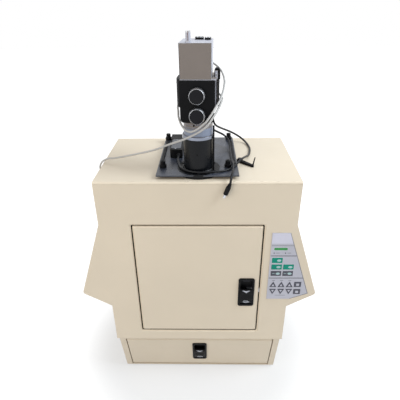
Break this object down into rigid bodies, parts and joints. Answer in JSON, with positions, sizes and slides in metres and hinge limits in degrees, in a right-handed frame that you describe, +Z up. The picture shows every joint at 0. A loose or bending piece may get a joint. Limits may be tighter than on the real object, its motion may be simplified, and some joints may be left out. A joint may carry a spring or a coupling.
{
  "type": "gel documentation system",
  "caption": "Light-tight gel imaging cabinet with flared side wings, hinged front door, pull-out ultraviolet drawer, wing keypad and a camera tower on the roof.",
  "frame": {"origin": "on the bench under the middle of the cabinet", "axes": "X to the right seen from the door, Y to the back, +Z up"},
  "size_m": [0.6111, 0.4021, 0.953],
  "materials": {
    "cream_paint": "satin, fine orange peel",
    "black_paint": "satin",
    "rubber": "matte",
    "black_plastic": "soft satin",
    "bare_steel": "zinc plated",
    "lamp_white": "coated glass tube",
    "filter": "dark ultraviolet filter, polished",
    "overlay": "fine textured polyester",
    "teal_key": "satin",
    "slate_key": "satin",
    "gray_metal": "fine satin",
    "gray_pvc": "smooth sheath"
  },
  "bodies": {
    "cabinet": {"front_panel": "cream_paint", "side_shells": "cream_paint", "roof_panel": "cream_paint", "back_panel": "cream_paint", "base_shell": "cream_paint", "chamber_floor": "black_paint", "door_surround": "black_paint", "hinge_pivots": "bare_steel", "feet": "rubber", "epi_lamps": "lamp_white", "power_inlet": "black_plastic", "screws": "black_plastic", "drawer_rails": "bare_steel", "keypad_plate": "overlay", "mounting_plate": "black_paint", "plate_fittings": "black_paint", "tower_tube": "black_paint", "zoom_lens": "gray_metal", "lens_housing": "black_paint", "camera_body": "gray_metal", "camera_connectors": "gray_metal", "black_cables": "black_plastic", "black_plug": "black_plastic", "gray_cable": "gray_pvc", "gray_coil": "gray_pvc", "gray_plug": "gray_pvc"},
    "door": {"door_panel": "cream_paint", "door_liner": "black_paint", "door_seal": "rubber", "door_latch_bezel": "black_plastic"},
    "door_paddle": {"door_latch_paddle": "black_plastic"},
    "door_tongue": {"door_latch_tongue": "bare_steel"},
    "drawer": {"drawer_runners": "bare_steel", "drawer_front": "cream_paint", "drawer_tray": "bare_steel", "stage_frame": "black_paint", "filter_glass": "filter", "uv_tubes": "lamp_white", "uv_reflector": "bare_steel", "ballasts": "bare_steel", "drawer_latch_bezel": "black_plastic"},
    "drawer_paddle": {"drawer_latch_paddle": "black_plastic"},
    "drawer_tongue": {"drawer_latch_tongue": "bare_steel"},
    "rocker": {"power_switch": "black_plastic"},
    "zoom_control": {"zoom_knob": "black_plastic"},
    "focus_control": {"focus_knob": "black_plastic"},
    "lever": {"clamp_lever": "black_paint"},
    "button_uv_lamp": {"key_uv_lamp": "teal_key"},
    "button_white_lamp": {"key_white_lamp": "teal_key"},
    "button_prep": {"key_prep": "teal_key"},
    "button_lock": {"key_lock": "slate_key"},
    "button_mute": {"key_mute": "slate_key"},
    "button_zoom_in": {"key_zoom_in": "slate_key"},
    "button_focus_in": {"key_focus_in": "slate_key"},
    "button_iris_open": {"key_iris_open": "slate_key"},
    "button_freeze": {"key_freeze": "slate_key"},
    "button_zoom_out": {"key_zoom_out": "slate_key"},
    "button_focus_out": {"key_focus_out": "slate_key"},
    "button_iris_close": {"key_iris_close": "slate_key"},
    "button_print": {"key_print": "slate_key"}
  },
  "joints": [
    {"name": "door_hinge", "type": "hinge", "parent": "cabinet", "child": "door", "pos_m": [-0.1455, -0.14, 0.3675], "axis": [0, 0, -1], "range_deg": [0, 105]},
    {"name": "door_paddle_pivot", "type": "hinge", "parent": "door", "child": "door_paddle", "pos_m": [0.1225, -0.149, 0.303], "axis": [1, 0, 0], "range_deg": [0, 30]},
    {"name": "door_tongue_slide", "type": "slide", "parent": "door", "child": "door_tongue", "axis": [-1, 0, 0], "range_m": [0, 0.006], "stiffness_N_per_m": 600, "springref_m": -0.004},
    {"name": "drawer_slide", "type": "slide", "parent": "cabinet", "child": "drawer", "axis": [0, -1, 0], "range_m": [0, 0.2]},
    {"name": "drawer_paddle_pivot", "type": "hinge", "parent": "drawer", "child": "drawer_paddle", "pos_m": [0, -0.11895, 0.05913], "axis": [1, 0, 0], "range_deg": [0, 30]},
    {"name": "drawer_tongue_slide", "type": "slide", "parent": "drawer", "child": "drawer_tongue", "axis": [0, -0.2368, 0.9715], "range_m": [0, 0.006], "stiffness_N_per_m": 600, "springref_m": -0.004},
    {"name": "mains_rocker", "type": "hinge", "parent": "cabinet", "child": "rocker", "pos_m": [-0.143, 0.146, 0.215], "axis": [1, 0, 0], "range_deg": [0, 16]},
    {"name": "zoom_turn", "type": "hinge", "parent": "cabinet", "child": "zoom_control", "pos_m": [0.002, -0.129, 0.834], "axis": [-0.0523, -0.9986, 0], "range_deg": [-150, 150]},
    {"name": "focus_turn", "type": "hinge", "parent": "cabinet", "child": "focus_control", "pos_m": [0.002, -0.129, 0.7935], "axis": [-0.0523, -0.9986, 0], "range_deg": [-150, 150]},
    {"name": "lever_turn", "type": "hinge", "parent": "cabinet", "child": "lever", "pos_m": [0.103, -0.033, 0.65], "axis": [0, 0, -1], "range_deg": [0, 40]},
    {"name": "press_uv_lamp", "type": "slide", "parent": "cabinet", "child": "button_uv_lamp", "axis": [0, 1, 0], "range_m": [0, 0.0005], "stiffness_N_per_m": 600, "springref_m": -0.0006},
    {"name": "press_white_lamp", "type": "slide", "parent": "cabinet", "child": "button_white_lamp", "axis": [0, 1, 0], "range_m": [0, 0.0005], "stiffness_N_per_m": 600, "springref_m": -0.0006},
    {"name": "press_prep", "type": "slide", "parent": "cabinet", "child": "button_prep", "axis": [0, 1, 0], "range_m": [0, 0.0005], "stiffness_N_per_m": 600, "springref_m": -0.0006},
    {"name": "press_lock", "type": "slide", "parent": "cabinet", "child": "button_lock", "axis": [0, 1, 0], "range_m": [0, 0.0005], "stiffness_N_per_m": 600, "springref_m": -0.0006},
    {"name": "press_mute", "type": "slide", "parent": "cabinet", "child": "button_mute", "axis": [0, 1, 0], "range_m": [0, 0.0005], "stiffness_N_per_m": 600, "springref_m": -0.0006},
    {"name": "press_zoom_in", "type": "slide", "parent": "cabinet", "child": "button_zoom_in", "axis": [0, 1, 0], "range_m": [0, 0.0005], "stiffness_N_per_m": 600, "springref_m": -0.0006},
    {"name": "press_focus_in", "type": "slide", "parent": "cabinet", "child": "button_focus_in", "axis": [0, 1, 0], "range_m": [0, 0.0005], "stiffness_N_per_m": 600, "springref_m": -0.0006},
    {"name": "press_iris_open", "type": "slide", "parent": "cabinet", "child": "button_iris_open", "axis": [0, 1, 0], "range_m": [0, 0.0005], "stiffness_N_per_m": 600, "springref_m": -0.0006},
    {"name": "press_freeze", "type": "slide", "parent": "cabinet", "child": "button_freeze", "axis": [0, 1, 0], "range_m": [0, 0.0005], "stiffness_N_per_m": 600, "springref_m": -0.0006},
    {"name": "press_zoom_out", "type": "slide", "parent": "cabinet", "child": "button_zoom_out", "axis": [0, 1, 0], "range_m": [0, 0.0005], "stiffness_N_per_m": 600, "springref_m": -0.0006},
    {"name": "press_focus_out", "type": "slide", "parent": "cabinet", "child": "button_focus_out", "axis": [0, 1, 0], "range_m": [0, 0.0005], "stiffness_N_per_m": 600, "springref_m": -0.0006},
    {"name": "press_iris_close", "type": "slide", "parent": "cabinet", "child": "button_iris_close", "axis": [0, 1, 0], "range_m": [0, 0.0005], "stiffness_N_per_m": 600, "springref_m": -0.0006},
    {"name": "press_print", "type": "slide", "parent": "cabinet", "child": "button_print", "axis": [0, 1, 0], "range_m": [0, 0.0005], "stiffness_N_per_m": 600, "springref_m": -0.0006}
  ],
  "couplings": [
    {"joint": "door_paddle_pivot", "follows": "door_tongue_slide", "rad_per_m": 87.266},
    {"joint": "drawer_paddle_pivot", "follows": "drawer_tongue_slide", "rad_per_m": 87.266}
  ]
}
